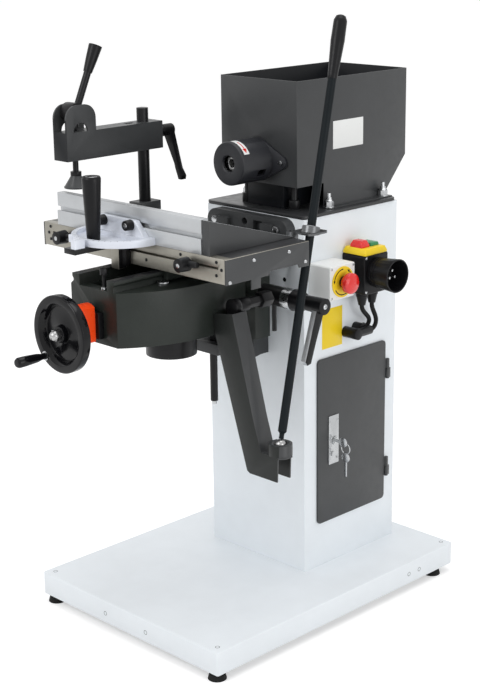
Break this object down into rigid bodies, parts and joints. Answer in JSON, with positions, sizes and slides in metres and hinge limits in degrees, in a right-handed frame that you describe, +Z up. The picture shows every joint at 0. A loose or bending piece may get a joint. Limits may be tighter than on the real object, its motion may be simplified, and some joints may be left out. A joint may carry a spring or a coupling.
{
  "type": "slot mortiser",
  "caption": "Floor-standing slot mortiser: cabinet with a motor head and horizontal chuck, and a work table that a joystick lever moves on cross slides.",
  "frame": {"origin": "on the floor, under the middle of the machine's outer box; the chuck axis lies 18 mm to the left of it", "axes": "+X to the right along the table, +Y from the operator towards the cabinet, +Z up"},
  "size_m": [0.5463, 0.8903, 1.1649],
  "materials": {
    "white_paint": "satin",
    "grey_paint": "satin",
    "dark_paint": "satin",
    "black_paint": "matt",
    "grey_casting": "painted",
    "green_casting": "painted",
    "black_rubber": "matt",
    "black_plastic": "satin",
    "white_plastic": "gloss",
    "yellow_plastic": "gloss",
    "red_plastic": "gloss",
    "green_plastic": "gloss",
    "orange_plastic": "gloss",
    "zinc": "zinc plated",
    "steel": "turned",
    "milled_steel": "milled",
    "black_oxide": "black oxide",
    "aluminium": "extruded",
    "cast_aluminium": "cast and polished"
  },
  "bodies": {
    "frame": {"base_tray": "white_paint", "base_feet": "black_rubber", "cabinet": "white_paint", "top_gasket": "black_rubber", "top_plate": "dark_paint", "head_bolts": "zinc", "column_casting": "grey_casting", "motor_body": "black_paint", "motor_bearings": "zinc", "motor_cover": "grey_paint", "cover_panel": "black_paint", "chuck_guard": "black_plastic", "stop_box": "white_plastic", "stop_legend": "yellow_plastic", "switch_box": "black_plastic", "switch_base": "yellow_plastic", "power_inlet": "black_plastic", "cable_glands": "black_plastic", "leads": "black_rubber", "door_hinges": "grey_paint", "screw_nut": "grey_casting"},
    "spindle": {"motor_shaft": "steel", "chuck": "steel"},
    "stop_button": {"stop_button": "red_plastic"},
    "off_button": {"off_button": "red_plastic"},
    "start_button": {"start_button": "green_plastic"},
    "door": {"door": "grey_paint", "door_lock": "zinc"},
    "door_key": {"door_key": "zinc"},
    "knee": {"knee": "green_casting", "knee_fittings": "black_oxide", "swing_bracket": "grey_paint", "lock_sleeve": "black_oxide", "position_counter": "orange_plastic"},
    "lock_lever": {"lock_lever": "black_plastic"},
    "lead_screw": {"lead_screw": "black_oxide"},
    "handwheel": {"drive_shaft": "steel", "handwheel": "black_plastic"},
    "wheel_handle": {"wheel_handle": "black_plastic"},
    "carriage": {"carriage": "green_casting"},
    "table": {"table_top": "dark_paint", "front_bar": "milled_steel", "end_plates": "grey_paint", "table_screws": "zinc", "table_blocks": "grey_paint", "lever_bush": "zinc"},
    "bar_stop_left": {"bar_stop_left": "black_oxide"},
    "bar_stop_right": {"bar_stop_right": "black_oxide"},
    "gauge_bar": {"mitre_bar": "milled_steel"},
    "gauge": {"gauge": "cast_aluminium", "fence": "aluminium", "gauge_knobs": "black_plastic"},
    "gauge_handle": {"gauge_handle": "black_plastic"},
    "hold_post": {"hold_post": "black_oxide"},
    "hold_arm": {"hold_arm": "grey_paint"},
    "arm_clamp": {"arm_clamp": "black_plastic"},
    "cam_lever": {"cam_lever": "black_oxide"},
    "plunger": {"plunger": "black_oxide"},
    "lever_ball": {"lever_ball": "steel"},
    "lever": {"lever": "black_oxide"}
  },
  "joints": [
    {"name": "spindle_turn", "type": "hinge", "parent": "frame", "child": "spindle", "pos_m": [-0.018, 0.042, 0.8865], "axis": [0, 1, 0], "continuous": true},
    {"name": "stop_press", "type": "slide", "parent": "frame", "child": "stop_button", "axis": [1, 0, 0], "range_m": [-0.004, 0], "stiffness_N_per_m": 800},
    {"name": "off_press", "type": "slide", "parent": "frame", "child": "off_button", "axis": [0, 0, 1], "range_m": [-0.003, 0], "stiffness_N_per_m": 600},
    {"name": "start_press", "type": "slide", "parent": "frame", "child": "start_button", "axis": [0, 0, 1], "range_m": [-0.003, 0], "stiffness_N_per_m": 600},
    {"name": "door_hinge", "type": "hinge", "parent": "frame", "child": "door", "pos_m": [0.118, 0.357, 0.33], "axis": [0, 0, 1], "range_deg": [0, 110]},
    {"name": "key_turn", "type": "hinge", "parent": "door", "child": "door_key", "pos_m": [0.122, 0.192, 0.326], "axis": [1, 0, 0], "range_deg": [0, 90]},
    {"name": "knee_lift", "type": "slide", "parent": "frame", "child": "knee", "axis": [0, 0, 1], "range_m": [-0.003, 0.085]},
    {"name": "lock_turn", "type": "hinge", "parent": "knee", "child": "lock_lever", "pos_m": [0.182, 0.04, 0.651], "axis": [1, 0, 0], "range_deg": [0, 75]},
    {"name": "screw_turn", "type": "hinge", "parent": "knee", "child": "lead_screw", "pos_m": [-0.018, -0.006, 0.55], "axis": [0, 0, 1], "range_deg": [-6130, 220]},
    {"name": "wheel_turn", "type": "hinge", "parent": "knee", "child": "handwheel", "pos_m": [-0.018, -0.368, 0.638], "axis": [0, 1, 0], "range_deg": [-220, 6130]},
    {"name": "handle_spin", "type": "hinge", "parent": "handwheel", "child": "wheel_handle", "pos_m": [-0.057, -0.408, 0.592], "axis": [0, 1, 0], "continuous": true},
    {"name": "carriage_slide", "type": "slide", "parent": "knee", "child": "carriage", "axis": [0, 1, 0], "range_m": [-0.05, 0.02]},
    {"name": "table_slide", "type": "slide", "parent": "carriage", "child": "table", "axis": [1, 0, 0], "range_m": [-0.04, 0.06]},
    {"name": "left_stop_slide", "type": "slide", "parent": "table", "child": "bar_stop_left", "axis": [1, 0, 0], "range_m": [-0.03, 0.08]},
    {"name": "right_stop_slide", "type": "slide", "parent": "table", "child": "bar_stop_right", "axis": [1, 0, 0], "range_m": [-0.06, 0.045]},
    {"name": "gauge_slide", "type": "slide", "parent": "table", "child": "gauge_bar", "axis": [0, 1, 0], "range_m": [0, 0.06]},
    {"name": "gauge_swing", "type": "hinge", "parent": "gauge_bar", "child": "gauge", "pos_m": [-0.036, -0.219, 0.78], "axis": [0, 0, 1], "range_deg": [-30, 25]},
    {"name": "gauge_handle_turn", "type": "hinge", "parent": "gauge_bar", "child": "gauge_handle", "pos_m": [-0.044, -0.271, 0.8], "axis": [0, 0, 1], "range_deg": [-180, 180]},
    {"name": "post_swing", "type": "hinge", "parent": "table", "child": "hold_post", "pos_m": [-0.206, -0.006, 0.8], "axis": [0, 0, 1], "range_deg": [-15, 30]},
    {"name": "arm_lift", "type": "slide", "parent": "hold_post", "child": "hold_arm", "axis": [0, 0, 1], "range_m": [0, 0.025]},
    {"name": "clamp_turn", "type": "hinge", "parent": "hold_arm", "child": "arm_clamp", "pos_m": [-0.206, 0.042, 0.933], "axis": [0, 1, 0], "range_deg": [0, 100]},
    {"name": "cam_turn", "type": "hinge", "parent": "hold_arm", "child": "cam_lever", "pos_m": [-0.206, -0.176, 0.989], "axis": [1, 0, 0], "range_deg": [0, 90]},
    {"name": "plunger_slide", "type": "slide", "parent": "hold_arm", "child": "plunger", "axis": [0, 0, 1], "range_m": [-0.005, 0]},
    {"name": "lever_side", "type": "hinge", "parent": "knee", "child": "lever_ball", "pos_m": [0.251, -0.1, 0.426], "axis": [0, 1, 0], "range_deg": [-7, 10]},
    {"name": "lever_fore", "type": "hinge", "parent": "lever_ball", "child": "lever", "pos_m": [0.251, -0.1, 0.426], "axis": [1, 0, 0], "range_deg": [-3.5, 7.6]}
  ],
  "couplings": [
    {"joint": "screw_turn", "follows": "knee_lift", "rad_per_m": -1256.6},
    {"joint": "wheel_turn", "follows": "knee_lift", "rad_per_m": 1256.6},
    {"joint": "plunger_slide", "follows": "cam_turn", "m_per_rad": -0.0031831},
    {"joint": "lever_side", "follows": "table_slide", "rad_per_m": 2.68},
    {"joint": "lever_fore", "follows": "carriage_slide", "rad_per_m": -2.47}
  ]
}
